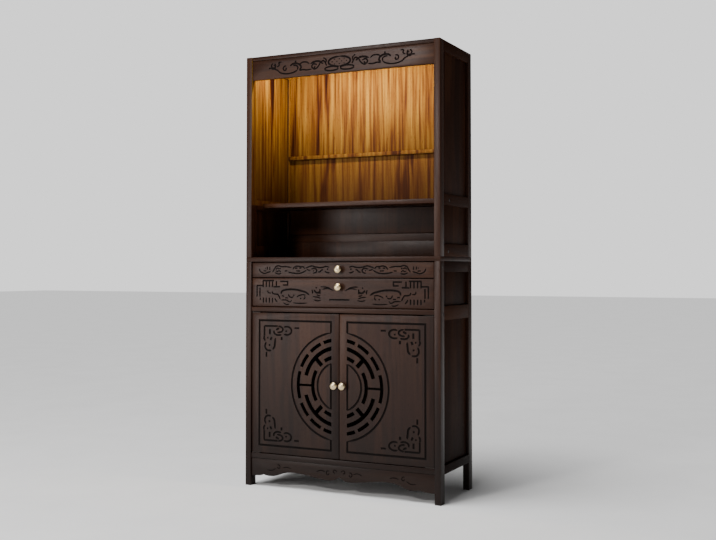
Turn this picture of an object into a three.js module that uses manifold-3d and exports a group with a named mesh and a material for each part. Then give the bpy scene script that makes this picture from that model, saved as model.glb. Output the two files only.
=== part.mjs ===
// Household altar cabinet, millimetres, +Z up, front towards -Y.
// The origin lies on the floor under the middle of the whole cabinet, knobs included.
// A lower case with two drawers and a two-door cupboard carries a full-width counter
// board, and on it stands an upper case with an altar niche over an offering niche.

import * as THREE from 'three';
import { mergeVertices } from 'three/addons/utils/BufferGeometryUtils.js';
import Module from 'manifold-3d';

const wasm = await Module();
wasm.setup();

// Case
const caseWide = 880;
const caseHigh = 1800;
const frontY = -165;
const backY = 185;
const halfWide = caseWide / 2;
const postWide = 26;
const postDeep = 40;
const innerX = halfWide - postWide;
const boardThick = 18;
const boardSetback = 3;
const frontSetback = 5;
const swingGap = 3;

// Side frames: panels lie between their rails, back from both faces
const panelOutset = 11;
const panelThick = 9;
const panelX = [halfWide - panelOutset - panelThick, halfWide - panelOutset];

// Back: thin panels, a ledge rail that stands proud and a slot rail behind them
const backPanelY = [160, 170];
const ledgeY = [145, 180];
const slotRailY = [170, 182];
const slotRailLap = 14;

// Heights, each [bottom, top]
const apronTop = 115;
const bottomBoardZ = [116, 137];
const doorZ = [140, 722];
const middleBoardZ = [727, 746];
const lowerDrawerZ = [750, 866];
const upperDrawerZ = [870, 931];
const counterZ = [935, 953];
const altarShelfZ = [1166, 1184];
const altarShelfFrontY = -75;
const headerZ = [1702, 1783];
const topBoardZ = [1784, 1800];
const ledgeZ = [1392, 1408];
const slotZ = [1024, 1058];

const sideRailZ = {
  foot: [112, 146],
  waist: [705, 760],
  under_counter: [893, counterZ[0]],
  over_counter: [counterZ[1], 1003],
  shelf: [1155, 1198],
  top: [1757, caseHigh],
};

// Drawers: open-topped boxes behind their fronts
const drawerGapX = 3;
const drawerBox = { halfWide: 398, backY: 130, wall: 12, floor: 6 };
const lowerBoxZ = [746.5, 852];
const upperBoxZ = [870, 922];
const runner = { wide: 29, high: 13.5, clear: 0.5 };

// Knobs: centre heights and reach
const drawerKnobZ = [832, 903];
const doorKnob = { x: 18.5, z: 434 };
const knobProfile = [[0, 0], [8, 0], [5.5, 4], [5.5, 12], [13, 14.5], [15, 18.5], [12, 23.5], [0, 25]];
const knobSides = 14;

// Pivot hinges: a leaf let onto the door's end and a pin in the board beyond it
const pivot = { inset: 4, pinRadius: 2.8, pinLong: 10, play: 0.5, sides: 8 };
const pivotLeaf = { long: 38, wide: 12, thick: 2 };

// Lamp strip under the top board, behind the header
const lamp = { halfLong: 380, wide: 18, high: 11, behindHeader: 6 };

// Door carving, in a door's own plane; the medallion spans both doors
const groove = { wide: 8.5, deep: 3 };
const medallionZ = 430;
const fieldX = [37, 375];
const fieldZ = [172, 690];
const stileX = 35;
const ring = {
  outerGroove: 219,
  outer: { radius: 189, wide: 13 },
  middle: { radius: 157, wide: 15 },
  inner: { radius: 121, wide: 14 },
  innerGroove: 99,
};
const arcStep = 9;

// Carved lines elsewhere
const fineLine = 3.6;
const lineDeep = 2.5;
const cornerScroll = { x: 351, z: 667 };

// Finishes
const walnut = { color: 0x3a2a26, roughness: 0.5, metalness: 0 };
const warmWood = { color: 0xb0793c, roughness: 0.5, metalness: 0 };
const brass = { color: 0xd8c39a, roughness: 0.3, metalness: 1 };
const steel = { color: 0x9a9a9c, roughness: 0.35, metalness: 1 };
const lampWhite = { color: 0xf4e3c0, roughness: 0.4, metalness: 0 };

const cabinet = new THREE.Group();

function place(name, geometry, finish, position = [0, 0, 0], turnX = 0) {
  const mesh = new THREE.Mesh(geometry, new THREE.MeshStandardMaterial(finish));
  mesh.name = name;
  mesh.position.set(...position);
  mesh.rotation.x = turnX;
  cabinet.add(mesh);
}

function span([low, high]) {
  return { size: high - low, middle: (low + high) / 2 };
}

function block(name, x, y, z, finish) {
  const sides = [span(x), span(y), span(z)];
  const geometry = new THREE.BoxGeometry(...sides.map((side) => side.size));
  place(name, geometry, finish, sides.map((side) => side.middle));
}

function onSide(sign, [inner, outer]) {
  return sign > 0 ? [inner, outer] : [-outer, -inner];
}

// Solids for cutting and joining

function toSolid(geometry) {
  const bare = geometry.clone();
  bare.deleteAttribute('normal');
  bare.deleteAttribute('uv');
  const merged = mergeVertices(bare, 1e-4);
  return new wasm.Manifold(new wasm.Mesh({
    numProp: 3,
    vertProperties: Float32Array.from(merged.attributes.position.array),
    triVerts: Uint32Array.from(merged.index.array),
  }));
}

function toGeometry(solid) {
  const mesh = solid.getMesh();
  const geometry = new THREE.BufferGeometry();
  geometry.setAttribute('position', new THREE.BufferAttribute(mesh.vertProperties, 3));
  geometry.setIndex(new THREE.BufferAttribute(mesh.triVerts, 1));
  geometry.computeVertexNormals();
  return geometry;
}

function boxSolid([x, y, z]) {
  const sides = [span(x), span(y), span(z)];
  const geometry = new THREE.BoxGeometry(...sides.map((side) => side.size));
  geometry.translate(...sides.map((side) => side.middle));
  return toSolid(geometry);
}

// A plate on a flat plan, from depth low to depth high
function plate(shape, low, high) {
  const geometry = new THREE.ExtrudeGeometry(shape, { depth: high - low, bevelEnabled: false });
  geometry.translate(0, 0, low);
  return toSolid(geometry);
}

function rectangle([left, right], [bottom, top]) {
  return new THREE.Shape([
    new THREE.Vector2(left, bottom),
    new THREE.Vector2(right, bottom),
    new THREE.Vector2(right, top),
    new THREE.Vector2(left, top),
  ]);
}

function joinAll(solids) {
  return solids.reduce((joined, solid) => joined.add(solid));
}

// Lines to carve along: lists of points on a board's front, right of the middle

function polar(x, z, radiusX, radiusZ, degrees) {
  const angle = THREE.MathUtils.degToRad(degrees);
  return new THREE.Vector2(x + radiusX * Math.cos(angle), z + radiusZ * Math.sin(angle));
}

function arc(x, z, radiusX, radiusZ, from, to, step = 45) {
  const count = Math.max(2, Math.ceil(Math.abs(to - from) / step));
  const points = [];
  for (let i = 0; i <= count; i += 1) {
    points.push(polar(x, z, radiusX, radiusZ, from + (to - from) * i / count));
  }
  return points;
}

function curl(x, z, radius, from, turn, step = 60) {
  const count = Math.ceil(Math.abs(turn) / step);
  const points = [];
  for (let i = 0; i <= count; i += 1) {
    const r = radius * (1 - 0.72 * i / count);
    points.push(polar(x, z, r, r, from + turn * i / count));
  }
  return points;
}

function line(...corners) {
  return corners.map(([x, z]) => new THREE.Vector2(x, z));
}

function leaf(x, z, halfLong, halfHigh) {
  return [arc(x, z, halfLong, halfHigh, 0, 180), arc(x, z, halfLong, halfHigh, 180, 360)];
}

// The outline of a carved line: both edges, square at its start, pointed where a curve runs out
function strokeShape(points, wide) {
  const half = wide / 2;
  const last = points.length - 1;
  const left = [];
  const right = [];
  for (let i = 0; i <= last; i += 1) {
    const before = points[i].clone().sub(points[Math.max(0, i - 1)]);
    const after = points[Math.min(last, i + 1)].clone().sub(points[i]);
    const way = before.normalize().add(after.normalize()).normalize();
    const bend = after.lengthSq() > 0 && before.lengthSq() > 0 ? way.dot(after) : 1;
    const side = new THREE.Vector2(-way.y, way.x).multiplyScalar(half / Math.max(0.6, bend));
    left.push(points[i].clone().add(side));
    right.push(points[i].clone().sub(side));
  }
  if (last === 1) {
    return new THREE.Shape([...right, ...left.reverse()]);
  }
  const tip = points[last].clone().sub(points[last - 1]).setLength(half).add(points[last]);
  return new THREE.Shape([...right, tip, ...left.reverse()]);
}

function carveLines(lines, wide, deep) {
  const tools = lines.map((points) => plate(strokeShape(points, wide), boardThick - deep, boardThick + 1));
  return joinAll(tools);
}

function mirrorLines(lines) {
  const mirrored = lines.map((points) => points.map((point) => new THREE.Vector2(-point.x, point.y)));
  return [...lines, ...mirrored];
}

// Everything a pattern takes out: lines of each width, then square pits [x, height, size].
// The change turns the pattern's own axes into the board's.
function carvePattern(pattern, change) {
  const cuts = pattern.lines.map(([wide, lines]) => carveLines(change(lines), wide, lineDeep));
  for (const [x, z, size] of pattern.pits) {
    cuts.push(carveLines(change([line([x - size / 2, z], [x + size / 2, z])]), size, lineDeep));
  }
  return joinAll(cuts);
}

// Boards that stand upright across the front, drawn on x and height
function frontBoard(name, solid, frontFace) {
  place(name, toGeometry(solid), walnut, [0, frontFace + boardThick, 0], Math.PI / 2);
}

// Header: a seeded oval on two leaves, with cloud scrolls running out to each end
const headerPattern = {
  lines: [
    [8.5, [
      arc(0, 1748, 50, 20, -90, 90),
      line([79, 1745], [90, 1755], [110, 1757], [134, 1750]),
      line([230, 1748], [218, 1756], [199, 1757], [183, 1749], [178, 1738], [186, 1728]),
      line([304, 1766], [301, 1754], [304, 1744], [318, 1742]),
    ]],
    [6.8, [
      ...leaf(36, 1721, 31, 8.5),
      line([57, 1734], [63, 1745], [60, 1757], [67, 1766]),
      curl(76, 1750, 9, 200, -340),
      curl(118, 1736, 13, 150, -360),
      line([88, 1751], [95, 1738], [106, 1728], [120, 1724]),
      line([139, 1749], [152, 1758], [170, 1759], [186, 1752]),
      line([129, 1727], [150, 1725], [170, 1728], [186, 1725]),
      line([216, 1750], [201, 1748], [193, 1740], [196, 1730]),
      line([194, 1729], [215, 1720], [245, 1717], [275, 1723], [290, 1735], [306, 1741]),
      curl(254, 1739, 12, 120, -360),
      line([271, 1768], [284, 1767], [283, 1756], [293, 1749]),
      line([312, 1767], [320, 1758], [317, 1748]),
      line([303, 1747], [333, 1747]),
    ]],
  ],
  pits: [
    [0, 1758, 5], [22, 1758, 5], [11, 1748, 5], [33, 1748, 5], [0, 1738, 5], [22, 1738, 5],
    [70, 1767, 7], [204, 1765, 8], [106, 1744, 6], [252, 1732, 6], [308, 1757, 5],
  ],
};

function header() {
  const carved = carvePattern(headerPattern, mirrorLines);
  const blank = plate(rectangle([-innerX, innerX], headerZ), 0, boardThick);
  frontBoard('header', blank.subtract(carved), frontY + frontSetback);
}

// Upper drawer: leaf and scroll cells in a chain
const upperDrawerPattern = {
  lines: [
    [6.2, [
      line([378, 906], [371, 893], [353, 886], [337, 890], [321, 894]),
      line([313, 891], [306, 901], [299, 912], [285, 918], [270, 914], [246, 914], [222, 910]),
      line([238, 892], [220, 888], [199, 886], [180, 887], [165, 892], [151, 899]),
      line([216, 902], [208, 912], [194, 916], [178, 914], [166, 913], [158, 905]),
      line([156, 908], [141, 913], [125, 917], [110, 913], [92, 910], [74, 911], [60, 915], [44, 911]),
      line([131, 904], [113, 907], [103, 899], [108, 890], [121, 887]),
      line([98, 892], [88, 893], [81, 900], [73, 901]),
      line([66, 895], [56, 890], [44, 889]),
      line([302, 890], [286, 884], [270, 887]),
    ]],
    [5.4, [
      line([356, 897], [343, 896]),
      line([338, 914], [338, 902]),
      line([326, 914], [326, 900]),
      line([299, 903], [290, 908], [280, 905]),
      line([296, 897], [288, 894], [281, 898], [272, 891]),
      line([254, 896], [241, 897]),
      line([199, 897], [181, 896]),
      line([205, 907], [194, 908]),
      line([184, 907], [175, 909]),
      line([132, 899], [142, 900], [151, 904]),
    ]],
  ],
  pits: [
    [276, 906, 7], [53, 904, 7], [118, 897, 5], [346, 908, 5],
  ],
};

// Lower drawer: key frets and a bracket at each end, long cloud bands between them
const lowerDrawerPattern = {
  lines: [
    [6.6, [
      line([360, 856], [306, 856]),
      line([388, 837], [388, 789]),
      line([374, 827], [374, 789]),
      line([360, 835], [388, 835]),
      ...[358, 343, 328, 313].map((x) => line([x, 856], [x, 829])),
      ...[357, 343, 328, 313].map((x) => line([x, 785], [x, 764])),
      line([294, 855], [294, 834]),
      line([276, 853], [240, 853], [240, 838], [262, 838]),
      line([308, 830], [276, 831]),
      line([372, 785], [372, 775]),
      line([302, 784], [297, 775], [289, 767]),
      line([315, 812], [311, 803], [299, 800], [288, 799], [280, 789], [275, 778]),
      line([124, 803], [122, 812], [126, 820]),
      line([88, 822], [88, 803]),
      line([-46, 780], [46, 780]),
    ]],
    [8.5, [
      line(
        [272, 800], [267, 812], [252, 818], [226, 820],
        [198, 819], [174, 814], [155, 809], [138, 799],
      ),
      line([116, 819], [108, 810], [98, 807], [89, 812]),
    ]],
    [5.6, [
      line([336, 816], [333, 806], [319, 804]),
      line([236, 801], [232, 791], [221, 787], [212, 791]),
      line([272, 776], [246, 776], [232, 769], [222, 772]),
      line([268, 793], [256, 792]),
      line([251, 785], [238, 785]),
      line([197, 789], [186, 795], [170, 799], [154, 797]),
      line([160, 794], [158, 786], [166, 780]),
      line([262, 765], [246, 758], [231, 760]),
      line([215, 765], [181, 763], [148, 765]),
      line([104, 800], [95, 796], [86, 796]),
      line([122, 792], [102, 790], [84, 785]),
      line([118, 779], [101, 775], [82, 778]),
      line([86, 832], [62, 831], [40, 826]),
      line([80, 822], [50, 825], [24, 816]),
    ]],
  ],
  pits: [
    [210, 796, 7], [178, 783, 7], [105, 828, 7], [222, 775, 5], [336, 809, 5],
  ],
};

function drawer(name, pattern, frontZ, boxZ, knobZ) {
  const carved = carvePattern(pattern, mirrorLines);
  const x = [drawerGapX - innerX, innerX - drawerGapX];
  const face = frontY + frontSetback;
  frontBoard(`${name}_front`, plate(rectangle(x, frontZ), 0, boardThick).subtract(carved), face);
  const { halfWide: half, wall, floor } = drawerBox;
  const y = [face + boardThick, drawerBox.backY];
  const outside = boxSolid([[-half, half], y, boxZ]);
  const inside = boxSolid([
    [wall - half, half - wall],
    [y[0] + wall, y[1] - wall],
    [boxZ[0] + floor, boxZ[1] + 1],
  ]);
  place(`${name}_box`, toGeometry(outside.subtract(inside)), warmWood);
  knob(`${name}_knob`, 0, knobZ);
}

function knob(name, x, z) {
  const profile = knobProfile.map(([radius, reach]) => new THREE.Vector2(radius, reach));
  place(name, new THREE.LatheGeometry(profile, knobSides), brass, [x, frontY + frontSetback, z], Math.PI);
}

// Doors: pierced rings round the seam, engraved circles and field, scrolls in the corners

function ringSlot({ radius, wide }, from, to) {
  const outer = radius + wide / 2;
  const inner = radius - wide / 2;
  return new THREE.Shape([
    ...arc(0, medallionZ, outer, outer, from, to, arcStep),
    ...arc(0, medallionZ, inner, inner, to, from, arcStep),
  ]);
}

function spokeSlot(degrees, fromRadius, toRadius, wide) {
  const near = polar(0, medallionZ, fromRadius, fromRadius, degrees);
  const far = polar(0, medallionZ, toRadius, toRadius, degrees);
  const side = far.clone().sub(near).rotateAround(new THREE.Vector2(), Math.PI / 2).setLength(wide / 2);
  return new THREE.Shape([
    near.clone().sub(side),
    far.clone().sub(side),
    far.clone().add(side),
    near.clone().add(side),
  ]);
}

function piercedRings() {
  const shapes = [
    ringSlot(ring.outer, -17, 17),
    ringSlot(ring.inner, -30, 30),
    spokeSlot(0, ring.inner.radius, ring.outer.radius, 8),
  ];
  for (const up of [1, -1]) {
    shapes.push(ringSlot(ring.outer, 23 * up, 41 * up));
    shapes.push(ringSlot(ring.outer, 46.5 * up, 63.5 * up));
    shapes.push(ringSlot(ring.outer, 68 * up, 90 * up));
    shapes.push(ringSlot(ring.middle, 14.5 * up, 90 * up));
    shapes.push(spokeSlot(46 * up, ring.inner.radius - 7, ring.middle.radius, 16));
    shapes.push(ringSlot(ring.inner, 57 * up, 90 * up));
  }
  const depth = [-1, boardThick + 1];
  const field = boxSolid([[stileX, fieldX[1]], fieldZ, depth]);
  return joinAll(shapes.map((shape) => plate(shape, ...depth))).intersect(field);
}

function fieldLines() {
  const meet = (radius) => THREE.MathUtils.radToDeg(Math.acos(fieldX[0] / radius));
  const rise = (radius) => Math.sqrt(radius ** 2 - fieldX[0] ** 2);
  const wideArc = meet(ring.outerGroove);
  const tightArc = meet(ring.innerGroove);
  const [left, right] = fieldX;
  const [bottom, top] = fieldZ;
  const gap = rise(ring.outerGroove);
  const inner = rise(ring.innerGroove);
  return [
    arc(0, medallionZ, ring.outerGroove, ring.outerGroove, -wideArc, wideArc, arcStep),
    arc(0, medallionZ, ring.innerGroove, ring.innerGroove, -tightArc, tightArc, arcStep + 4),
    line([left, medallionZ - inner], [left, medallionZ + inner]),
    line(
      [left, medallionZ + gap], [left, top], [right, top],
      [right, bottom], [left, bottom], [left, medallionZ - gap],
    ),
  ];
}

// Corner scroll, measured from its corner: in from the stile, then down from the rail
const cornerPattern = {
  lines: [
    [8.4, [
      line([0, 0], [64, 0]),
      arc(66, 13, 23, 13, -90, 100),
      line([46, 18], [47, 28], [55, 35], [68, 37], [82, 35]),
      arc(107, 18, 23, 17, -125, 125),
      line([144, 6], [166, 6]),
      line([0, 0], [0, 40]),
      line([0, 40], [-2, 52], [4, 63]),
      line([8, 67], [3, 80], [4, 91], [12, 100], [21, 102], [33, 101]),
      line([10, 108], [10, 129]),
    ]],
    [9.5, [
      line([55, 15], [63, 12], [71, 7]),
      line([83, 44], [83, 57]),
      line([26, 13], [26, 35]),
      line([35, 46], [29, 58]),
      line([53, 49], [51, 67], [48, 86], [39, 97]),
    ]],
  ],
  pits: [
    [105, 20, 8], [16, 49, 8], [25, 79, 9],
  ],
};

// The corner scroll turned into both corners of a door's field
function onCorners(lines) {
  const rise = cornerScroll.z - medallionZ;
  const onDoor = (up) => (point) => new THREE.Vector2(
    cornerScroll.x - point.x,
    medallionZ + up * (rise - point.y),
  );
  return [1, -1].flatMap((up) => lines.map((points) => points.map(onDoor(up))));
}

function mirrored(geometry) {
  const flipped = geometry.clone();
  flipped.scale(-1, 1, 1);
  const order = flipped.index.array;
  for (let i = 0; i < order.length; i += 3) {
    [order[i], order[i + 1]] = [order[i + 1], order[i]];
  }
  flipped.computeVertexNormals();
  return flipped;
}

function doors() {
  const blank = plate(rectangle([swingGap / 2, innerX - swingGap], doorZ), 0, boardThick);
  const carved = blank
    .subtract(piercedRings())
    .subtract(carveLines(fieldLines(), groove.wide, groove.deep))
    .subtract(carvePattern(cornerPattern, onCorners));
  const rightDoor = toGeometry(carved);
  const back = [0, frontY + frontSetback + boardThick, 0];
  place('right_door', rightDoor, walnut, back, Math.PI / 2);
  place('left_door', mirrored(rightDoor), walnut, back, Math.PI / 2);
  for (const [side, sign] of [['left', -1], ['right', 1]]) {
    knob(`${side}_door_knob`, sign * doorKnob.x, doorKnob.z);
    doorPivot(`${side}_door_top_pivot`, sign, doorZ[1], 1);
    doorPivot(`${side}_door_bottom_pivot`, sign, doorZ[0], -1);
  }
}

function pivotAxis(sign) {
  return [sign * (innerX - swingGap - pivot.inset), frontY + frontSetback + pivot.inset];
}

function upright(radius, [bottom, top], [x, y]) {
  const geometry = new THREE.CylinderGeometry(radius, radius, top - bottom, pivot.sides);
  geometry.rotateX(Math.PI / 2);
  geometry.translate(x, y, (bottom + top) / 2);
  return toSolid(geometry);
}

function order(a, b) {
  return a < b ? [a, b] : [b, a];
}

function doorPivot(name, sign, endZ, up) {
  const outer = innerX - swingGap;
  const face = frontY + frontSetback;
  const leafTop = endZ + up * pivotLeaf.thick;
  const leafPart = boxSolid([
    onSide(sign, [outer - pivotLeaf.long, outer]),
    [face, face + pivotLeaf.wide],
    order(endZ, leafTop),
  ]);
  const pin = upright(pivot.pinRadius, order(endZ, leafTop + up * pivot.pinLong), pivotAxis(sign));
  place(name, toGeometry(leafPart.add(pin)), steel);
}

// A cross board with a socket at each end for a door pin
function socketedBoard(name, z, openFace, up) {
  const pinEnd = (up > 0 ? doorZ[1] : doorZ[0]) + up * (pivotLeaf.thick + pivot.pinLong + 1);
  const blank = boxSolid([[-innerX, innerX], [frontY + boardSetback, backPanelY[0]], z]);
  const sockets = [-1, 1].map((sign) => upright(
    pivot.pinRadius + pivot.play,
    order(openFace - up, pinEnd),
    pivotAxis(sign),
  ));
  place(name, toGeometry(blank.subtract(joinAll(sockets))), walnut);
}

// Apron: ogee peak in the middle, a long arch and an end lobe each side, small scrolls
function apron() {
  const half = new THREE.Path();
  half.moveTo(0, 67);
  half.bezierCurveTo(8, 66, 20, 52, 45, 52);
  half.bezierCurveTo(100, 52, 150, 68, 210, 68);
  half.bezierCurveTo(272, 68, 275, 45, 325, 45);
  half.bezierCurveTo(338, 45, 348, 47, 354, 50);
  half.bezierCurveTo(360, 44, 385, 42, innerX, 42);
  const edge = half.getPoints(5);
  const mirroredEdge = edge.slice(1).map((point) => new THREE.Vector2(-point.x, point.y)).reverse();
  const top = line([innerX, apronTop], [-innerX, apronTop]);
  const blank = plate(new THREE.Shape([...mirroredEdge, ...edge, ...top]), 0, boardThick);
  const lines = [
    curl(20, 88, 10, 180, -320),
    curl(50, 80, 11, 120, -320),
    line([62, 84], [82, 90], [104, 82]),
    curl(282, 86, 10, 60, 320),
    line([262, 84], [242, 88], [222, 84]),
    line([294, 80], [312, 70], [336, 70]),
  ];
  const carved = carveLines(mirrorLines(lines), fineLine, lineDeep);
  frontBoard('apron', blank.subtract(carved), frontY + frontSetback);
}

function posts() {
  const stages = { lower: [0, counterZ[0]], upper: [counterZ[1], caseHigh] };
  const rows = { front: [frontY, frontY + postDeep], back: [backY - postDeep, backY] };
  for (const [stage, z] of Object.entries(stages)) {
    for (const [row, y] of Object.entries(rows)) {
      block(`${stage}_post_${row}_left`, onSide(-1, [innerX, halfWide]), y, z, walnut);
      block(`${stage}_post_${row}_right`, onSide(1, [innerX, halfWide]), y, z, walnut);
    }
  }
}

function sideFrames() {
  const y = [frontY + postDeep, backY - postDeep];
  const rail = sideRailZ;
  const panels = {
    cupboard: [rail.foot[1], rail.waist[0]],
    drawer: [rail.waist[1], rail.under_counter[0]],
    offering: [rail.over_counter[1], rail.shelf[0]],
    altar: [rail.shelf[1], rail.top[0]],
  };
  for (const [side, sign] of [['left', -1], ['right', 1]]) {
    for (const [level, z] of Object.entries(rail)) {
      block(`${side}_rail_${level}`, onSide(sign, [innerX, halfWide]), y, z, walnut);
    }
    for (const [level, z] of Object.entries(panels)) {
      block(`${side}_panel_${level}`, onSide(sign, panelX), y, z, walnut);
    }
  }
}

function boards() {
  const x = [-innerX, innerX];
  const boardFront = frontY + boardSetback;
  block('counter_board', [-halfWide, halfWide], [frontY, backY], counterZ, walnut);
  block('top_board', x, [boardFront, backPanelY[0]], topBoardZ, walnut);
  block('altar_shelf', x, [altarShelfFrontY, backPanelY[0]], altarShelfZ, walnut);
  socketedBoard('middle_board', middleBoardZ, middleBoardZ[0], 1);
  socketedBoard('bottom_board', bottomBoardZ, bottomBoardZ[1], -1);
}

function back() {
  const x = [-innerX, innerX];
  block('back_panel_altar', x, backPanelY, [ledgeZ[1], topBoardZ[1]], warmWood);
  block('back_panel_middle', x, backPanelY, [slotZ[1], ledgeZ[0]], warmWood);
  block('back_panel_offering', x, backPanelY, [counterZ[1], slotZ[0]], walnut);
  block('back_panel_lower', x, backPanelY, [bottomBoardZ[0], counterZ[0]], walnut);
  block('back_ledge', x, ledgeY, ledgeZ, warmWood);
  block('back_slot_rail', x, slotRailY, [slotZ[0] - slotRailLap, slotZ[1] + slotRailLap], walnut);
}

function runners() {
  const y = [frontY + frontSetback + boardThick + 1, backPanelY[0]];
  const top = upperBoxZ[0] - runner.clear;
  for (const [side, sign] of [['left', -1], ['right', 1]]) {
    const x = onSide(sign, [innerX - runner.wide, innerX]);
    block(`${side}_drawer_runner`, x, y, [top - runner.high, top], walnut);
  }
}

function nicheLamp() {
  const start = frontY + frontSetback + boardThick + lamp.behindHeader;
  const z = [topBoardZ[0] - lamp.high, topBoardZ[0]];
  block('niche_lamp', [-lamp.halfLong, lamp.halfLong], [start, start + lamp.wide], z, lampWhite);
}

posts();
sideFrames();
boards();
back();
runners();
header();
nicheLamp();
apron();
drawer('lower_drawer', lowerDrawerPattern, lowerDrawerZ, lowerBoxZ, drawerKnobZ[0]);
drawer('upper_drawer', upperDrawerPattern, upperDrawerZ, upperBoxZ, drawerKnobZ[1]);
doors();

export default cabinet;
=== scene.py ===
import math
import bpy
import bmesh
from mathutils import Matrix, Vector
from mathutils.geometry import interpolate_bezier


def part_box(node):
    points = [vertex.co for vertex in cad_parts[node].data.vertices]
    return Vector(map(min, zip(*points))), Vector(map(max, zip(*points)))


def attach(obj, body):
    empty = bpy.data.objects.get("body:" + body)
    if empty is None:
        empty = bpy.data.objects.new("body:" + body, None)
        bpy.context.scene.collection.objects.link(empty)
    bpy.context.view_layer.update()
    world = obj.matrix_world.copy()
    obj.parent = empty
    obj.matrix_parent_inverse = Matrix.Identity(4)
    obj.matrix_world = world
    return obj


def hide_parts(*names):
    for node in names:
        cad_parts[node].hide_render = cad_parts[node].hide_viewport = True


# A household altar cabinet: every board, door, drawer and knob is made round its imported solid.

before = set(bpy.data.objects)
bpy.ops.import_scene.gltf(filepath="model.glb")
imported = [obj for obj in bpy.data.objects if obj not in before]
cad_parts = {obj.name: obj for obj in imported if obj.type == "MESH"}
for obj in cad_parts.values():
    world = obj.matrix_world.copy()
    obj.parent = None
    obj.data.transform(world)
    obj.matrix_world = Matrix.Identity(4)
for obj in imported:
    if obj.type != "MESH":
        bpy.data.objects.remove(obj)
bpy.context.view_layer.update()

mm = 0.001
case = "cabinet_case"
caseHalfWide = 440  # out to the posts' outer faces
frontFace = -160  # the face that header, apron, drawers and doors share
thick = 18  # of those boards
lineDeep = 2.5  # every carved line
pitDeep = 2.4
sharpAngle = math.radians(35)  # edges that turn more than this stay crisp
# the second material place is painted shade for cut faces, the third golden niche wood with painted lamp
# light
recessShadeSlot, lampLitGoldSlot = 1, 2  # material places of a board, after its outside


# A shader socket that can be added, subtracted and multiplied

class Value:
    def __init__(self, finish, socket):
        self.finish = finish
        self.socket = socket

    def math(self, operation, *numbers):
        inputs = {index: number for index, number in enumerate((self,) + numbers)}
        return self.finish.add("Math", {"operation": operation}, inputs)

    def flipped(self, operation, number):
        return self.finish.add("Math", {"operation": operation}, {0: number, 1: self})

    def __add__(self, other):
        return self.math("ADD", other)

    def __radd__(self, other):
        return self.flipped("ADD", other)

    def __sub__(self, other):
        return self.math("SUBTRACT", other)

    def __rsub__(self, other):
        return self.flipped("SUBTRACT", other)

    def __mul__(self, other):
        return self.math("MULTIPLY", other)

    def __rmul__(self, other):
        return self.flipped("MULTIPLY", other)

    def between(self, low, high):
        # 0 below low, 1 above high, smooth in between
        settings = {"interpolation_type": "SMOOTHSTEP"}
        return self.finish.add("MapRange", settings, {"Value": self, "From Min": low, "From Max": high})


class Finish:
    def __init__(self, name):
        self.material = bpy.data.materials.new(name)
        self.material.use_nodes = True
        self.tree = self.material.node_tree
        self.tree.nodes.clear()

    def add(self, kind, settings=None, inputs=None, output=0):
        node = self.tree.nodes.new("ShaderNode" + kind)
        for key, value in (settings or {}).items():
            if key == "stops":
                self.setStops(node.color_ramp, value)
            else:
                setattr(node, key, value)
        for key, value in (inputs or {}).items():
            if isinstance(value, Value):
                self.tree.links.new(value.socket, node.inputs[key])
            else:
                node.inputs[key].default_value = value
        return Value(self, node.outputs[output]) if node.outputs else None

    def setStops(self, ramp, stops):
        while len(ramp.elements) < len(stops):
            ramp.elements.new(0.5)
        for element, (place, colour) in zip(ramp.elements, stops):
            element.position = place
            element.color = (*colour, 1)

    def place(self):
        # object coordinates, moved by each plank's own shift
        spot = self.add("TexCoord", output="Object")
        plank = self.add("Attribute", {"attribute_name": "plank"}, output="Fac")
        shift = self.add("CombineXYZ", {}, {0: plank * 3.1, 1: plank * 1.7, 2: plank * 2.3})
        return self.add("VectorMath", {"operation": "ADD"}, {0: spot, 1: shift})

    def noise(self, spot, stretch, scale, detail=2.0, roughness=0.5, distortion=0.0):
        squeezed = self.add("Mapping", {}, {"Vector": spot, "Scale": stretch})
        inputs = {
            "Vector": squeezed,
            "Scale": scale,
            "Detail": detail,
            "Roughness": roughness,
            "Distortion": distortion,
        }
        return self.add("TexNoise", {}, inputs)

    def mix(self, factor, first, second, blend="MIX"):
        settings = {"data_type": "RGBA", "blend_type": blend}
        return self.add("Mix", settings, {0: factor, 6: first, 7: second}, output=2)

    def surface(self, bumpHeight, bumpStrength, bumpDistance, **inputs):
        normal = self.add("Bump", {}, {
            "Height": bumpHeight,
            "Strength": bumpStrength,
            "Distance": bumpDistance,
        })
        values = {key.replace("_", " "): value for key, value in inputs.items()}
        shader = self.add("BsdfPrincipled", {}, {**values, "Normal": normal})
        self.add("OutputMaterial", {}, {"Surface": shader})
        return self.material


# Finishes

def shade(*levels):
    # a colour given as screen levels, 0 to 255
    return tuple((level / 255) ** 2.2 for level in levels)


def stretched(axis, amount):
    return tuple(amount if letter == axis else 1.0 for letter in "XYZ")


darkWood = {
    "tones": [
        (0.25, shade(22, 12, 7)),
        (0.45, shade(41, 23, 14)),
        (0.62, shade(55, 33, 21)),
        (0.8, shade(76, 48, 31)),
    ],
    "poreTone": shade(14, 8, 6),
    "figure": 7.5,
    "streaks": 0.1,
    "rings": 46,
    "gloss": 0.32,
    "shine": 0.2,
    # painted shade: the dark wood's colour sinks towards its pore tone near the floor, by three quarters at
    # the floor and not at all from 0.7 m up
    "paintedShade": {"from": 0.0, "to": 0.7, "amount": 0.75},  # darkest at the first height
}
# painted shade for the walls and floors of grooves, holes and slots
recessShadeWood = {
    **darkWood,
    "tones": [(0.3, shade(11, 7, 5)), (0.7, shade(24, 15, 11))],
    "gloss": 0.6,
    "shine": 0.1,
}
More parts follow.
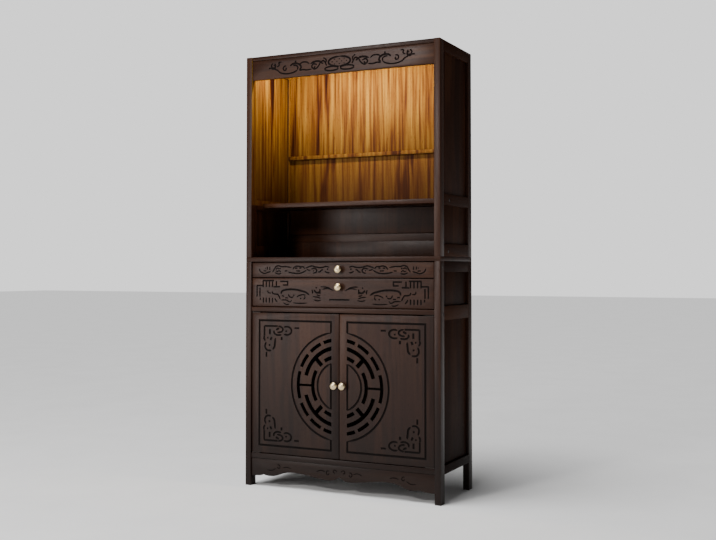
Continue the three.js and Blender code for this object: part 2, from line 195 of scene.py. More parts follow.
# golden wood, partly its own colour and partly painted warm lamp light
nicheGoldLampLit = {
    "tones": [
        (0.36, shade(40, 20, 20)),
        (0.44, shade(74, 40, 26)),
        (0.52, shade(116, 76, 34)),
        (0.66, shade(158, 118, 52)),
    ],
    "poreTone": shade(62, 36, 20),
    "figure": 15,
    "streaks": 0.62,
    "rings": 18,
    "gloss": 0.5,
    "shine": 0.06,
    # painted shade: the lamp's light fading towards the altar shelf, by three quarters at 1.15 m and not at
    # all at 1.72 m
    "paintedShade": {"from": 1.15, "to": 1.72, "amount": 0.75},
}
# the trays keep the niche's painted shade, which mixes them three quarters of the way to the pore tone, as
# they lie below 1.15 m
trayWood = {
    **nicheGoldLampLit,
    "tones": [(0.3, shade(52, 27, 20)), (0.7, shade(104, 66, 36))],
}


grainScale = {"streak": 70, "fibre": 430, "pore": 850}


def wood(name, along, look):
    # figure and rings, fine streaks and fibres along the grain, small dark pores, and painted shade that
    # darkens the colour below given heights
    finish = Finish(name)
    spot = finish.place()
    figure = finish.noise(spot, stretched(along, 0.09), look["figure"], 3, 0.55, 0.35)
    streak = finish.noise(spot, stretched(along, 0.03), grainScale["streak"], 3, 0.6)
    fibre = finish.noise(spot, stretched(along, 0.025), grainScale["fibre"], 3, 0.6)
    pore = finish.noise(spot, stretched(along, 0.06), grainScale["pore"], 1, 0.5).between(0.6, 0.72)
    rings = (figure * look["rings"]).math("SINE") * 0.5 + 0.5
    tone = figure * 0.72 + rings * 0.1 + fibre * 0.14 + (streak - 0.5) * look["streaks"] + 0.05
    grain = finish.add("ValToRGB", {"stops": look["tones"]}, {"Fac": tone})
    colour = finish.mix(pore * 0.55, grain, (*look["poreTone"], 1))
    # painted shade: below the look's heights the colour is mixed towards the dark pore tone
    height = finish.add("SeparateXYZ", {}, {"Vector": finish.add("TexCoord", output="Object")}, output="Z")
    low = 1 - height.between(look["paintedShade"]["from"], look["paintedShade"]["to"])
    colour = finish.mix(low * look["paintedShade"]["amount"], colour, (*look["poreTone"], 1))
    rough = fibre * 0.16 + pore * 0.18 + look["gloss"]
    relief = fibre * 0.35 - pore
    return finish.surface(
        relief, 0.35, 0.00012, Base_Color=colour, Roughness=rough, Specular_IOR_Level=look["shine"],
    )


def metal(name, colour, rough):
    finish = Finish(name)
    spot = finish.add("TexCoord", output="Object")
    cloud = finish.noise(spot, (1, 1, 1), 160, 3)
    scratch = finish.noise(spot, (1, 1, 0.1), 1400, 2)
    tint = finish.mix(cloud.between(0.35, 0.7), (*colour, 1), (*[part * 0.8 for part in colour], 1))
    rough = cloud * 0.14 + scratch * 0.06 + rough
    return finish.surface(scratch, 0.15, 0.00005, Base_Color=tint, Roughness=rough, Metallic=1.0)


def glow(name, colour, strength):
    finish = Finish(name)
    spot = finish.add("TexCoord", output="Object")
    cloud = finish.noise(spot, (1, 1, 1), 90, 2)
    tint = finish.mix(cloud, (*colour, 1), (*[part * 0.9 for part in colour], 1))
    shine = {"Emission_Color": tint, "Emission_Strength": strength}
    return finish.surface(cloud, 0.05, 0.00005, Base_Color=tint, Roughness=0.5, **shine)


def plain(name, colour, rough, speckle):
    finish = Finish(name)
    spot = finish.add("TexCoord", output="Object")
    cloud = finish.noise(spot, (1, 1, 1), speckle, 4, 0.6)
    tint = finish.mix(cloud, (*colour, 1), (*[part * 0.88 for part in colour], 1))
    return finish.surface(cloud, 0.1, 0.0001, Base_Color=tint, Roughness=cloud * 0.1 + rough)


dark = {axis: wood(f"walnut{axis}", axis, darkWood) for axis in "XYZ"}
sideWood = {**darkWood, "gloss": 0.5, "shine": 0.06}
dull = {axis: wood(f"dullWalnut{axis}", axis, sideWood) for axis in "YZ"}  # side frames
paintedRecessShade = wood("recessPaintedShade", "X", recessShadeWood)
nicheWoodLampLit = wood("nicheGoldLampLit", "Z", nicheGoldLampLit)
tray = wood("trayWood", "Z", trayWood)
brass = metal("paleBrass", shade(222, 200, 158), 0.24)
steel = metal("blackenedSteel", shade(62, 58, 56), 0.4)
lampGlow = glow("lampDiffuser", shade(255, 222, 170), 2.0)
capBrown = plain("capBrown", shade(46, 33, 28), 0.4, 300)
print("finishes ready")


# Shaping

def front(x, z):
    # a point on a board's front, given in millimetres
    return Vector((x, z)) * mm


def newPiece(name, bm, body, slot, *materials):
    bmesh.ops.remove_doubles(bm, verts=bm.verts, dist=1e-6)
    bmesh.ops.recalc_face_normals(bm, faces=bm.faces)
    for face in bm.faces:
        face.smooth = True
    mesh = bpy.data.meshes.new(name)
    bm.to_mesh(mesh)
    bm.free()
    mesh.set_sharp_from_angle(angle=sharpAngle)
    piece = bpy.data.objects.new(name, mesh)
    bpy.context.collection.objects.link(piece)
    for material in materials:
        mesh.materials.append(material)
    markPlank(mesh)
    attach(piece, body)
    return piece


planks = iter(range(1000))


def markPlank(mesh):
    # every board takes its own part of the wood pattern
    number = next(planks) * 0.618 % 1 * 4
    shift = mesh.attributes.new("plank", "FLOAT", "POINT")
    shift.data.foreach_set("value", [number] * len(mesh.vertices))


def onlyVerts(parts):
    return [part for part in parts if isinstance(part, bmesh.types.BMVert)]


def cuboid(low, high, edge=1.2):
    bm = bmesh.new()
    low, high = Vector(low), Vector(high)
    bmesh.ops.create_cube(bm, size=1)
    bmesh.ops.scale(bm, vec=high - low, verts=bm.verts)
    bmesh.ops.translate(bm, vec=(low + high) / 2, verts=bm.verts)
    bmesh.ops.bevel(
        bm, geom=bm.edges[:], offset=edge * mm, affect="EDGES", segments=2, profile=0.5, material=-1,
    )
    return bm


def cutter(bm, finish=recessShadeSlot):
    # what a cutter leaves is painted dark, as painted shade in the grooves, holes and slots
    bmesh.ops.recalc_face_normals(bm, faces=bm.faces)
    for face in bm.faces:
        face.material_index = finish
    mesh = bpy.data.meshes.new("cutter")
    bm.to_mesh(mesh)
    bm.free()
    return bpy.data.objects.new("cutter", mesh)


def carved(blank, cutters):
    # the blank with every cutter taken out of it, as a new bmesh
    tools = bpy.data.collections.new("tools")
    for tool in cutters:
        tools.objects.link(tool)
    board = cutter(blank, 0)
    bpy.context.collection.objects.link(board)
    cut = board.modifiers.new("cut", "BOOLEAN")
    cut.operation = "DIFFERENCE"
    cut.operand_type = "COLLECTION"
    cut.collection = tools
    cut.solver = "MANIFOLD"
    cut.material_mode = "INDEX"
    graph = bpy.context.evaluated_depsgraph_get()
    result = bmesh.new()
    result.from_mesh(board.evaluated_get(graph).to_mesh())
    for item in [board, *cutters]:
        bpy.data.objects.remove(item)
    bpy.data.collections.remove(tools)
    return result


def gouge(points, wide, deep=lineDeep, sides=10):
    # a round-bottomed groove along a line of points; long curves thin out at both ends
    last = len(points) - 1
    places = []
    for index, point in enumerate(points):
        runs = [(points[i], points[i + 1]) for i in (index - 1, index) if 0 <= i < last]
        ways = [(b - a).normalized() for a, b in runs]
        way = sum(ways, Vector((0, 0))).normalized()
        thin = min(1, 0.4 + 0.3 * min(index, last - index)) if last > 6 else 1
        half = wide / 2 * mm * thin / max(0.6, way.dot(ways[0]))
        low = deep * mm * thin
        place = Matrix(((-way.y * half, 0, way.x), (0, low, 0), (way.x * half, 0, way.y))).to_4x4()
        place.translation = (point.x, frontFace * mm, point.y)
        places.append(place)
    bm = bmesh.new()
    ring = bmesh.ops.create_circle(bm, cap_ends=True, segments=sides, radius=1)["verts"]
    bmesh.ops.transform(bm, matrix=places[0], verts=ring)
    edges = bm.edges[:]
    for before, after in zip(places, places[1:]):
        grown = bmesh.ops.extrude_edge_only(bm, edges=edges)["geom"]
        ring = onlyVerts(grown)
        edges = [part for part in grown if isinstance(part, bmesh.types.BMEdge)]
        edges = [edge for edge in edges if all(vert in ring for vert in edge.verts)]
        bmesh.ops.transform(bm, matrix=after @ before.inverted(), verts=ring)
    bmesh.ops.holes_fill(bm, edges=edges, sides=0)
    return cutter(bm)


def rod(centre, radius, start, end, sides=32):
    # a cylinder along X, for the screw holes and their caps
    bm = bmesh.new()
    size = {"radius1": radius * mm, "radius2": radius * mm, "depth": (end - start) * mm}
    bmesh.ops.create_cone(bm, cap_ends=True, segments=sides, **size)
    turn = Matrix.Rotation(math.radians(90), 4, "Y")
    place = Matrix.Translation(Vector(((start + end) / 2, *centre)) * mm)
    bmesh.ops.transform(bm, matrix=place @ turn, verts=bm.verts)
    return bm


# Case boards: the grain runs along each board, and the niche faces above the altar shelf are golden wood
# with painted lamp light

boardGrain = {
    "X": [
        "counter_board", "top_board", "altar_shelf", "middle_board", "bottom_board", "back_slot_rail",
    ],
    "Z": ["back_panel_offering", "back_panel_lower"],
    "Y": ["left_drawer_runner", "right_drawer_runner"],
}
for stage in ("lower", "upper"):
    for row in ("front", "back"):
        boardGrain["Z"] += [f"{stage}_post_{row}_left", f"{stage}_post_{row}_right"]
for side in ("left", "right"):
    boardGrain["Y"] += [f"{side}_rail_{rail}" for rail in ("foot", "waist", "under_counter")]
    boardGrain["Y"] += [f"{side}_rail_{rail}" for rail in ("over_counter", "shelf", "top")]
    boardGrain["Z"] += [f"{side}_panel_{panel}" for panel in ("cupboard", "drawer", "offering", "altar")]
litParts = ("upper_post", "rail_shelf", "rail_top", "panel_altar")
shelfLine = 1175
sideBoardWide = 100  # narrower boards than this belong to a side frame
screwCaps = {
    "radius": 6.5,
    "long": 3,
    "edge": 0.5,
    "sunk": 0.6,
    "hole": 7.2,
    "holeDeep": 4,
    "at": [(-65, 1175), (-78, 973), (-140, 913), (-140, 730)],  # depth and height, on both sides
}


def capsOn(low, high):
    # screw places that fall on this board's outer side
    outermost = max(high.x, -low.x) > (caseHalfWide - 0.5) * mm
    if not outermost or high.x - low.x > sideBoardWide * mm:
        return []
    return [(y, z) for y, z in screwCaps["at"] if low.y < y * mm < high.y and low.z < z * mm < high.z]


def caseBoard(node, grain):
    low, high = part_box(node)
    bm = cuboid(low, high)
    hand = 1 if high.x > 0 else -1
    spots = capsOn(low, high)
    if spots:
        reach = sorted(((caseHalfWide - screwCaps["holeDeep"]) * hand, (caseHalfWide + 2) * hand))
        bm = carved(bm, [cutter(rod(spot, screwCaps["hole"], *reach)) for spot in spots])
        for spot in spots:
            screwCap(spot, hand)
    if any(part in node for part in litParts):
        lampLitGoldAbove(bm, lambda face: face.normal.x * hand < -0.9)
    outside = dull[grain] if node.startswith(("left_", "right_")) else dark[grain]
    piece = newPiece(node + "_board", bm, case, "dark_wood", outside, paintedRecessShade, nicheWoodLampLit)
    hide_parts(node)


def lampLitGoldAbove(bm, inNiche):
    # the niche over the altar shelf is golden wood with painted lamp light, and the same boards below the
    # shelf line stay dark wood, as painted shade
    whole = bm.verts[:] + bm.edges[:] + bm.faces[:]
    bmesh.ops.bisect_plane(bm, geom=whole, plane_co=(0, 0, shelfLine * mm), plane_no=(0, 0, 1))
    bm.normal_update()
    for face in bm.faces:
        if inNiche(face) and face.calc_center_median().z > shelfLine * mm:
            face.material_index = lampLitGoldSlot


def screwCap(spot, hand):
    outer = (caseHalfWide - screwCaps["sunk"]) * hand
    bm = rod(spot, screwCaps["radius"], *sorted((outer - screwCaps["long"] * hand, outer)))
    edge = screwCaps["edge"] * mm
    bmesh.ops.bevel(
        bm, geom=bm.edges[:], offset=edge, affect="EDGES", segments=2, profile=0.5, material=-1,
    )
    side = "right" if hand > 0 else "left"
    newPiece(f"{side}_screw_cap_{spot[1]}", bm, case, "dark_wood", capBrown)


for grain, nodes in boardGrain.items():
    for node in nodes:
        caseBoard(node, grain)
for node in ("back_panel_altar", "back_panel_middle", "back_ledge"):
    bm = cuboid(*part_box(node))
    lampLitGoldAbove(bm, lambda face: face.normal.y < 0.9)
    piece = newPiece(node + "_board", bm, case, "warm_wood", dark["Z"], paintedRecessShade, nicheWoodLampLit)
    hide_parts(node)
print("case boards ready")


# Lines to carve along, in millimetres on x and height, right of the middle

def arc(x, z, acrossRadius, upRadius, start, end, step=9):
    count = max(2, math.ceil(abs(end - start) / step))
    angles = [math.radians(start + (end - start) * i / count) for i in range(count + 1)]
    return [front(x + acrossRadius * math.cos(a), z + upRadius * math.sin(a)) for a in angles]


def curl(x, z, radius, start, turn, step=15):
    # a spiral that winds in to a little over a quarter of its radius
    count = math.ceil(abs(turn) / step)
    points = []
    for i in range(count + 1):
        angle = math.radians(start + turn * i / count)
        reach = radius * (1 - 0.72 * i / count)
        points.append(front(x + reach * math.cos(angle), z + reach * math.sin(angle)))
    return points


def line(*corners):
    return [front(x, z) for x, z in corners]


def leaf(x, z, halfLong, halfHigh):
    return [arc(x, z, halfLong, halfHigh, 0, 180), arc(x, z, halfLong, halfHigh, 180, 360)]


def flow(*corners, steps=5):
    # a smooth line that runs through every corner
    ends = line(*corners)
    padded = [ends[0] * 2 - ends[1], *ends, ends[-1] * 2 - ends[-2]]
    points = []
    for a, b, c, d in zip(padded, padded[1:], padded[2:], padded[3:]):
        for i in range(steps):
            t = i / steps
            bend = (a * 2 - b * 5 + c * 4 - d) * t ** 2 + (b * 3 - a - c * 3 + d) * t ** 3
            points.append((b * 2 + (c - a) * t + bend) / 2)
    return points + [ends[-1]]


def pit(x, z, size):
    # a round hollow, punched
    bm = bmesh.new()
    bmesh.ops.create_uvsphere(bm, u_segments=12, v_segments=8, radius=1)
    scale = Matrix.Diagonal((size / 2 * mm, pitDeep * mm, size / 2 * mm, 1))
    place = Matrix.Translation((x * mm, frontFace * mm, z * mm))
    bmesh.ops.transform(bm, matrix=place @ scale, verts=bm.verts)
    return cutter(bm)


def bothHalves(lines):
    return lines + [[Vector((-point.x, point.y)) for point in points] for points in lines]


def cuttersFor(pattern):
    # every line and pit of a pattern, and its mirror image
    cutters = []
    for width, lines in pattern["lines"].items():
        cutters += [gouge(points, width) for points in bothHalves(lines)]
    for x, z, size in pattern["pits"]:
        cutters += [pit(side, z, size) for side in {x, -x}]
    return cutters


def carvedBoard(name, node, blank, pattern, body):
    bm = carved(blank, cuttersFor(pattern))
    piece = newPiece(name, bm, body, "dark_wood", dark["X"], paintedRecessShade)
    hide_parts(node)


# Header: a seeded oval on two leaves, with cloud scrolls running out to each end.
# In each pattern, lines are listed under their width, and a pit is x, height and size.

header = {
    "lines": {
        8.5: [
            arc(0, 1748, 50, 20, -90, 90),
            flow((79, 1745), (90, 1755), (110, 1757), (134, 1750)),
            flow((230, 1748), (218, 1756), (199, 1757), (183, 1749), (178, 1738), (186, 1728)),
            flow((304, 1766), (301, 1754), (304, 1744), (318, 1742)),
        ],
        6.8: [
            *leaf(36, 1721, 31, 8.5),
            flow((57, 1734), (63, 1745), (60, 1757), (67, 1766)),
            curl(76, 1750, 9, 200, -340),
            curl(118, 1736, 13, 150, -360),
            flow((88, 1751), (95, 1738), (106, 1728), (120, 1724)),
            flow((139, 1749), (152, 1758), (170, 1759), (186, 1752)),
            flow((129, 1727), (150, 1725), (170, 1728), (186, 1725)),
            flow((216, 1750), (201, 1748), (193, 1740), (196, 1730)),
            flow((194, 1729), (215, 1720), (245, 1717), (275, 1723), (290, 1735), (306, 1741)),
            curl(254, 1739, 12, 120, -360),
            flow((271, 1768), (284, 1767), (283, 1756), (293, 1749)),
            flow((312, 1767), (320, 1758), (317, 1748)),
            line((303, 1747), (333, 1747)),
        ],
    },
    "pits": [
        (0, 1758, 5), (22, 1758, 5), (11, 1748, 5), (33, 1748, 5), (0, 1738, 5), (22, 1738, 5),
        (70, 1767, 7), (204, 1765, 8), (106, 1744, 6), (252, 1732, 6), (308, 1757, 5),
    ],
}
carvedBoard("header_carved", "header", cuboid(*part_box("header")), header, case)


# Apron: an ogee peak in the middle, a long arch and an end lobe each side

apron = {
    "top": 115,
    "halfWide": 414,
    "rim": 0.8,  # the rounding along its outline
    "edge": [
        ((0, 67), (8, 66), (20, 52), (45, 52)),
        ((45, 52), (100, 52), (150, 68), (210, 68)),
        ((210, 68), (272, 68), (275, 45), (325, 45)),
        ((325, 45), (338, 45), (348, 47), (354, 50)),
        ((354, 50), (360, 44), (385, 42), (414, 42)),
    ],
    "lines": {
        3.6: [
            curl(20, 88, 10, 180, -320),
            curl(50, 80, 11, 120, -320),
            flow((62, 84), (82, 90), (104, 82)),
            curl(282, 86, 10, 60, 320),
            flow((262, 84), (242, 88), (222, 84)),
            flow((294, 80), (312, 70), (336, 70)),
        ],
    },
    "pits": [],
}


def apronBlank():
    right = []
    for bend in apron["edge"]:
        right += interpolate_bezier(*[front(*corner) for corner in bend], 14)[:-1]
    right.append(front(*apron["edge"][-1][-1]))
    left = [Vector((-point.x, point.y)) for point in reversed(right[1:])]
    end, top = apron["halfWide"], apron["top"]
    outline = left + right + line((end, top), (-end, top))
    bm = bmesh.new()
    face = bm.faces.new([bm.verts.new((point.x, frontFace * mm, point.y)) for point in outline])
    grown = bmesh.ops.extrude_face_region(bm, geom=[face])["geom"]
    bmesh.ops.translate(bm, vec=(0, thick * mm, 0), verts=onlyVerts(grown))
    rims = [edge for edge in bm.edges if abs(edge.verts[0].co.y - edge.verts[1].co.y) < 1e-6]
    bmesh.ops.bevel(
        bm, geom=rims, offset=apron["rim"] * mm, affect="EDGES", segments=2, profile=0.5, material=-1,
        clamp_overlap=True,
    )
    return bm


carvedBoard("apron_carved", "apron", apronBlank(), apron, case)
print("header and apron ready")


# Drawers: leaf and scroll cells on the upper one, frets and cloud bands on the lower one

upperDrawer = {
    "lines": {
        6.2: [
            flow((378, 906), (371, 893), (353, 886), (337, 890), (321, 894)),
            flow((313, 891), (306, 901), (299, 912), (285, 918), (270, 914), (246, 914), (222, 910)),
            flow((238, 892), (220, 888), (199, 886), (180, 887), (165, 892), (151, 899)),
            flow((216, 902), (208, 912), (194, 916), (178, 914), (166, 913), (158, 905)),
            flow((156, 908), (141, 913), (125, 917), (110, 913), (92, 910), (74, 911), (60, 915), (44, 911)),
            flow((131, 904), (113, 907), (103, 899), (108, 890), (121, 887)),
            flow((98, 892), (88, 893), (81, 900), (73, 901)),
            flow((66, 895), (56, 890), (44, 889)),
            flow((302, 890), (286, 884), (270, 887)),
        ],
        5.4: [
            line((356, 897), (343, 896)),
            line((338, 914), (338, 902)),
            line((326, 914), (326, 900)),
            flow((299, 903), (290, 908), (280, 905)),
            flow((296, 897), (288, 894), (281, 898), (272, 891)),
            line((254, 896), (241, 897)),
            line((199, 897), (181, 896)),
            line((205, 907), (194, 908)),
            line((184, 907), (175, 909)),
            flow((132, 899), (142, 900), (151, 904)),
        ],
    },
    "pits": [(276, 906, 7), (53, 904, 7), (118, 897, 5), (346, 908, 5)],
}
lowerDrawer = {
    "lines": {
        6.6: [
            line((360, 856), (306, 856)),
            line((388, 837), (388, 789)),
            line((374, 827), (374, 789)),
            line((360, 835), (388, 835)),
            *[line((x, 856), (x, 829)) for x in (358, 343, 328, 313)],
            *[line((x, 785), (x, 764)) for x in (357, 343, 328, 313)],
            line((294, 855), (294, 834)),
            line((276, 853), (240, 853), (240, 838), (262, 838)),
            line((308, 830), (276, 831)),
            line((372, 785), (372, 775)),
            flow((302, 784), (297, 775), (289, 767)),
            flow((315, 812), (311, 803), (299, 800), (288, 799), (280, 789), (275, 778)),
            flow((124, 803), (122, 812), (126, 820)),
            line((88, 822), (88, 803)),
            line((-46, 780), (46, 780)),
        ],
        8.5: [
            flow(
                (272, 800), (267, 812), (252, 818), (226, 820),
                (198, 819), (174, 814), (155, 809), (138, 799),
            ),
            flow((116, 819), (108, 810), (98, 807), (89, 812)),
        ],
        5.6: [
            flow((336, 816), (333, 806), (319, 804)),
            flow((236, 801), (232, 791), (221, 787), (212, 791)),
            flow((272, 776), (246, 776), (232, 769), (222, 772)),
            line((268, 793), (256, 792)),
            line((251, 785), (238, 785)),
            flow((197, 789), (186, 795), (170, 799), (154, 797)),
            flow((160, 794), (158, 786), (166, 780)),
            flow((262, 765), (246, 758), (231, 760)),
            flow((215, 765), (181, 763), (148, 765)),
            flow((104, 800), (95, 796), (86, 796)),
            flow((122, 792), (102, 790), (84, 785)),
            flow((118, 779), (101, 775), (82, 778)),
            flow((86, 832), (62, 831), (40, 826)),
            flow((80, 822), (50, 825), (24, 816)),
        ],
    },
    "pits": [(210, 796, 7), (178, 783, 7), (105, 828, 7), (222, 775, 5), (336, 809, 5)],
}
drawerBox = {"wall": 12, "floor": 6, "edge": 0.8}


def drawerTray(name):
    # an open-topped box: its lid is drawn in to the walls and pushed down to the floor
    low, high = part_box(name + "_box")
    bm = cuboid(low, high, drawerBox["edge"])
    lid = max(bm.faces, key=lambda face: face.calc_center_median().z * 10 + face.calc_area())
    bmesh.ops.inset_region(bm, faces=[lid], thickness=(drawerBox["wall"] - drawerBox["edge"]) * mm)
    inner = bmesh.ops.extrude_face_region(bm, geom=[lid])["geom"]
    bmesh.ops.delete(bm, geom=[lid], context="FACES_ONLY")
    drop = low.z + drawerBox["floor"] * mm - high.z
    bmesh.ops.translate(bm, vec=(0, 0, drop), verts=onlyVerts(inner))
    piece = newPiece(name + "_tray", bm, name, "warm_wood", tray)
    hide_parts(name + "_box")


for name, pattern in (("upper_drawer", upperDrawer), ("lower_drawer", lowerDrawer)):
    node = name + "_front"
    carvedBoard(name + "_carved", node, cuboid(*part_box(node)), pattern, name)
    drawerTray(name)
print("drawers ready")


# Doors: pierced rings round the seam, engraved circles and field, scrolls in the corners

door = {
    "stile": 35,
    "field": (37, 375, 172, 690),
    "middle": 430,
    "outerGroove": 219,
    "innerGroove": 99,
    "groove": {"wide": 8.5, "deep": 3, "sides": 12},
    "rim": 0.8,
    "scroll": (351, 667),
}
# radius, width, then the angles each slot runs between; the last list is mirrored up and down
ringSlots = [
    (189, 13, [(-17, 17)], [(23, 41), (46.5, 63.5), (68, 90)]),
    (157, 15, [], [(14.5, 90)]),
    (121, 14, [(-30, 30)], [(57, 90)]),
]
# angle, from radius, to radius, width of each straight slot
spokes = [(0, 121, 189, 8), (46, 114, 157, 16), (-46, 114, 157, 16)]


def slotSection(inner, outer):
    # the slot cut square through the board, with a small chamfer at its front and back edge
    rim = door["rim"]
    deep = [(-2, -rim - 2), (0, -rim), (rim, 0), (thick - rim, 0), (thick, -rim), (thick + 2, -rim - 2)]
    near = [(inner + shift, y) for y, shift in deep]
    far = [(outer - shift, y) for y, shift in reversed(deep)]
    bm = bmesh.new()
    face = bm.faces.new([bm.verts.new((r * mm, (frontFace + y) * mm, 0)) for r, y in near + far])
    return bm, face


def stileCut(bm):
    # keep what lies beyond the stile at the seam
    whole = bm.verts[:] + bm.edges[:] + bm.faces[:]
    seam = (door["stile"] * mm, 0, 0)
    bmesh.ops.bisect_plane(bm, geom=whole, plane_co=seam, plane_no=(1, 0, 0), clear_inner=True)
    bmesh.ops.holes_fill(bm, edges=[edge for edge in bm.edges if edge.is_boundary], sides=0)
    return cutter(bm)


def turned(bm, degrees):
    # turned in the plane of the doors
    turn = Matrix.Rotation(math.radians(-degrees), 3, "Y")
    bmesh.ops.rotate(bm, cent=(0, 0, 0), matrix=turn, verts=bm.verts)


def ringSlot(radius, wide, start, end):
    bm, face = slotSection(radius - wide / 2, radius + wide / 2)
    turned(bm, start)
    bmesh.ops.spin(
        bm, geom=[face, *face.edges, *face.verts], cent=(0, 0, 0), axis=(0, -1, 0),
        angle=math.radians(end - start), steps=max(3, round((end - start) / 3)), use_merge=False,
    )
    bmesh.ops.translate(bm, vec=(0, 0, door["middle"] * mm), verts=bm.verts)
    return stileCut(bm)


def spokeSlot(angle, start, end, wide):
    bm, face = slotSection(-wide / 2, wide / 2)
    turned(bm, 90)
    grown = bmesh.ops.extrude_face_region(bm, geom=[face])["geom"]
    bmesh.ops.translate(bm, vec=((end - start) * mm, 0, 0), verts=onlyVerts(grown))
    bmesh.ops.translate(bm, vec=(start * mm, 0, 0), verts=bm.verts)
    turned(bm, angle)
    bmesh.ops.translate(bm, vec=(0, 0, door["middle"] * mm), verts=bm.verts)
    return stileCut(bm)


def piercedRings():
    slots = []
    for radius, wide, single, paired in ringSlots:
        spans = single + paired + [(-end, -start) for start, end in paired]
        slots += [ringSlot(radius, wide, start, end) for start, end in spans]
    return slots + [spokeSlot(*spoke) for spoke in spokes]


def fieldLines():
    left, right, bottom, top = door["field"]
    z = door["middle"]
    outer, inner = door["outerGroove"], door["innerGroove"]
    gap, rise = math.sqrt(outer ** 2 - left ** 2), math.sqrt(inner ** 2 - left ** 2)
    wide, tight = (math.degrees(math.acos(left / radius)) for radius in (outer, inner))
    return [
        arc(0, z, outer, outer, -wide, wide, 4),
        arc(0, z, inner, inner, -tight, tight, 6),
        line((left, z - rise), (left, z + rise)),
        line((left, z + gap), (left, top), (right, top), (right, bottom), (left, bottom), (left, z - gap)),
    ]


# A corner scroll, measured from its corner: in from the stile, then down from the rail
cornerScroll = {
    "lines": {
        8.4: [
            line((0, 0), (64, 0)),
            arc(66, 13, 23, 13, -90, 100),
            flow((46, 18), (47, 28), (55, 35), (68, 37), (82, 35)),
            arc(107, 18, 23, 17, -125, 125),
            line((144, 6), (166, 6)),
            line((0, 0), (0, 40)),
            flow((0, 40), (-2, 52), (4, 63)),
            flow((8, 67), (3, 80), (4, 91), (12, 100), (21, 102), (33, 101)),
            line((10, 108), (10, 129)),
        ],
        9.5: [
            flow((55, 15), (63, 12), (71, 7)),
            line((83, 44), (83, 57)),
            line((26, 13), (26, 35)),
            line((35, 46), (29, 58)),
            flow((53, 49), (51, 67), (48, 86), (39, 97)),
        ],
    },
    "pits": [(105, 20, 8), (16, 49, 8), (25, 79, 9)],
}


def cornerCutters():
    # the scroll turned into the upper and the lower corner
    x, z = door["scroll"]
    middle = door["middle"]
    cutters = []
    for up in (1, -1):
        corner = front(x, middle + up * (z - middle))
        for width, lines in cornerScroll["lines"].items():
            placed = [[corner - Vector((point.x, up * point.y)) for point in points] for points in lines]
            cutters += [gouge(points, width) for points in placed]
        for inward, down, size in cornerScroll["pits"]:
            cutters.append(pit(x - inward, middle + up * (z - middle - down), size))
    return cutters


def doorPanel(side):
    cutters = piercedRings()
    cutters += [gouge(points, **door["groove"]) for points in fieldLines()]
    cutters += cornerCutters()
    low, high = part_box("right_door")
    bm = carved(cuboid(low, high), cutters)
    if side == "left":
        bmesh.ops.scale(bm, vec=(-1, 1, 1), verts=bm.verts)
    piece = newPiece(side + "_door_panel", bm, side + "_door", "dark_wood", dark["Z"], paintedRecessShade)
    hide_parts(side + "_door")


for side in ("left", "right"):
    doorPanel(side)
    for end in ("top", "bottom"):
        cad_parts[f"{side}_door_{end}_pivot"].data.materials[0] = steel
print("doors ready")


# Knobs: a domed disc on a waisted stem, with a small button at its middle

knobs = {
    "bodies": ["upper_drawer", "lower_drawer", "left_door", "right_door"],
    "steps": 48,
    "profile": [  # radius, and how far it stands out
        (0, 0), (8, 0), (8, 0.8), (6.2, 2.6), (5.4, 5), (5.4, 10), (7.2, 12.2), (11.5, 13.6), (14.2, 15),
        (15, 17), (14.4, 19), (12.4, 21), (9, 22.4), (5, 23.1), (3.6, 23.2), (3.2, 24.4), (2.2, 25), (0, 25),
    ],
}


def knob(body):
    node = body + "_knob"
    low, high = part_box(node)
    middle = (low + high) / 2
    bm = bmesh.new()
    verts = [bm.verts.new((radius * mm, -reach * mm, 0)) for radius, reach in knobs["profile"]]
    edges = [bm.edges.new(pair) for pair in zip(verts, verts[1:])]
    bmesh.ops.spin(
        bm, geom=verts + edges, cent=(0, 0, 0), axis=(0, 1, 0),
        angle=math.tau, steps=knobs["steps"], use_merge=True,
    )
    bmesh.ops.translate(bm, vec=(middle.x, high.y, middle.z), verts=bm.verts)
    piece = newPiece(node + "_turned", bm, body, "brass", brass)
    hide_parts(node)


for body in knobs["bodies"]:
    knob(body)

lamp = newPiece("lamp_strip", cuboid(*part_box("niche_lamp")), case, "lamp", lampGlow)
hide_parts("niche_lamp")
print("knobs and lamp ready")


# Studio: pale floor, soft lights, the warm lamp in the niche, and the camera

studio = {
    "floorSize": 60,
    "backdrop": (1.3, 1.3, 1.3),
    "room": (0.07, 0.07, 0.07),
    "sun": {"from": (-0.4, -0.5, 1.6), "softness": 36, "strength": 3.2},
    "lights": {
        "highBox": {
            "at": (-0.9, -3.8, 2.6),
            "aim": (0.3, 0, 1.7),
            "size": (0.6, 0.5),
            "power": 78,
            "tint": (1, 0.98, 0.96),
        },
        "leftBox": {
            "at": (-2.6, -3.8, 1.05),
            "aim": (-0.3, 0, 0.9),
            "size": (1.2, 1.2),
            "power": 62,
            "tint": (1, 0.98, 0.96),
        },
        "lamp": {
            "at": (0, -0.118, 1.7715),
            "aim": (0, 0.26, 1.5),
            "size": (0.74, 0.016),
            "power": 6.2,
            "tint": (1, 0.84, 0.54),
        },
    },
    "camera": {
        "at": (1.8953, -3.8247, 0.9020),
        "tilt": 1.65,
        "turn": 26.265,
        "lens": 51.37,
        "sensor": 36,
        "shift": (-0.0007, -0.0417),
    },
}


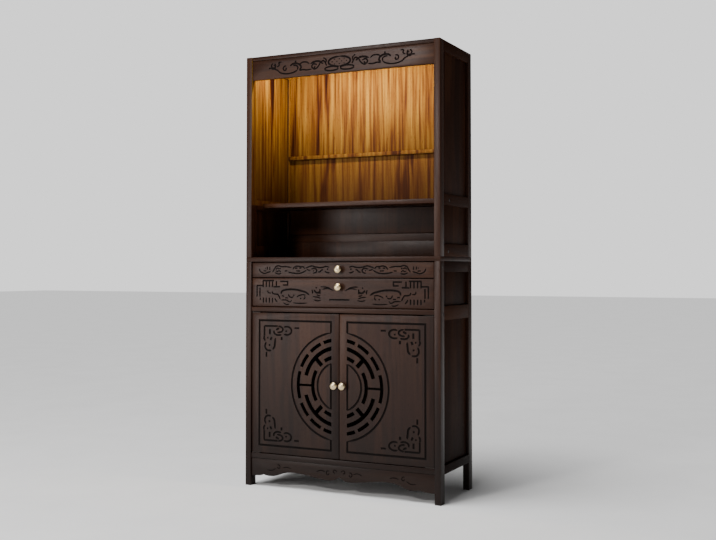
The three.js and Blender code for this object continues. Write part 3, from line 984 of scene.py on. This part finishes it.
def areaLight(name, setup):
    data = bpy.data.lights.new(name, "AREA")
    data.shape = "RECTANGLE"
    data.size, data.size_y = setup["size"]
    data.energy = setup["power"]
    data.color = setup["tint"]
    light = bpy.data.objects.new(name, data)
    light.location = setup["at"]
    aim = Vector(setup["aim"]) - Vector(setup["at"])
    light.rotation_euler = aim.to_track_quat("-Z", "Y").to_euler()
    bpy.context.collection.objects.link(light)


for name, setup in studio["lights"].items():
    areaLight(name, setup)

sun = bpy.data.lights.new("sun", "SUN")
sun.energy = studio["sun"]["strength"]
sun.angle = math.radians(studio["sun"]["softness"])
sunLamp = bpy.data.objects.new("sun", sun)
sunLamp.rotation_euler = Vector(studio["sun"]["from"]).to_track_quat("Z", "Y").to_euler()
bpy.context.collection.objects.link(sunLamp)

# the camera sees a pale wall behind the cabinet, and everything else a dim room
world = bpy.data.worlds.new("studio")
bpy.context.scene.world = world
world.use_nodes = True
nodes, links = world.node_tree.nodes, world.node_tree.links
seen = nodes.new("ShaderNodeLightPath")
walls = nodes.new("ShaderNodeMix")
walls.data_type = "RGBA"
walls.inputs[6].default_value = (*studio["room"], 1)
walls.inputs[7].default_value = (*studio["backdrop"], 1)
links.new(seen.outputs["Is Camera Ray"], walls.inputs[0])
links.new(walls.outputs[2], nodes["Background"].inputs["Color"])

bm = bmesh.new()
bmesh.ops.create_grid(bm, x_segments=1, y_segments=1, size=studio["floorSize"] / 2)
mesh = bpy.data.meshes.new("floor")
bm.to_mesh(mesh)
bm.free()
floor = bpy.data.objects.new("floor", mesh)
mesh.materials.append(plain("paleFloor", (0.94, 0.94, 0.94), 0.8, 3))
bpy.context.collection.objects.link(floor)

view = studio["camera"]
lens = bpy.data.cameras.new("camera")
lens.sensor_width = view["sensor"]
lens.lens = view["lens"]
lens.shift_x, lens.shift_y = view["shift"]
camera = bpy.data.objects.new("camera", lens)
camera.location = view["at"]
camera.rotation_euler = (math.radians(90 + view["tilt"]), 0, math.radians(view["turn"]))
bpy.context.collection.objects.link(camera)
bpy.context.scene.camera = camera
print("studio ready")
